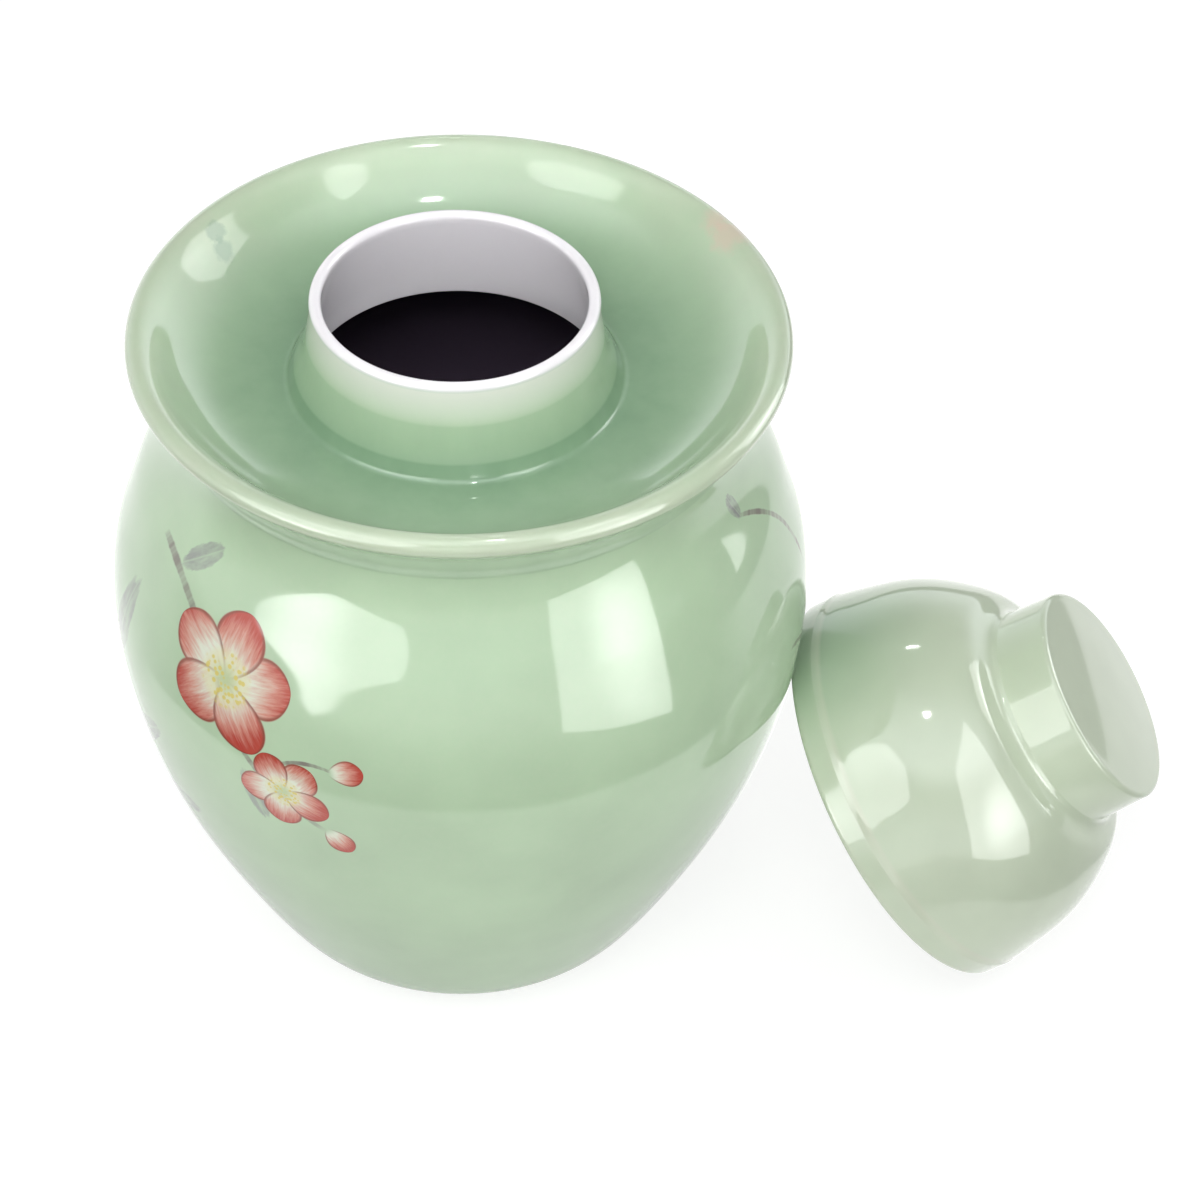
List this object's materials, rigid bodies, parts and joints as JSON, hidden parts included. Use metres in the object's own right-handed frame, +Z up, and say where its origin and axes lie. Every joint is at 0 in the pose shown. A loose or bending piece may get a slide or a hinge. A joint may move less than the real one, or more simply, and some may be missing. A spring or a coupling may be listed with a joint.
{
  "type": "water seal pickle jar",
  "caption": "Glazed fermenting crock with a water moat round its flared neck and a bowl-shaped lid that seals in the moat, shown lid off and leaning on the belly.",
  "frame": {"origin": "centre of the jar's foot ring on the floor", "axes": "+Z up along the jar's axis, +X from the jar to the lid that leans on it"},
  "size_m": [0.3827, 0.2488, 0.2831],
  "materials": {
    "jar_glaze": "gloss",
    "lid_glaze": "gloss"
  },
  "bodies": {
    "jar": {"jar_body": "jar_glaze"},
    "lid": {"lid": "lid_glaze"}
  },
  "joints": [
    {"name": "lid_lift", "type": "slide", "parent": "jar", "child": "lid", "axis": [0.8059, 0, 0.592], "range_m": [0, 0.25]}
  ]
}
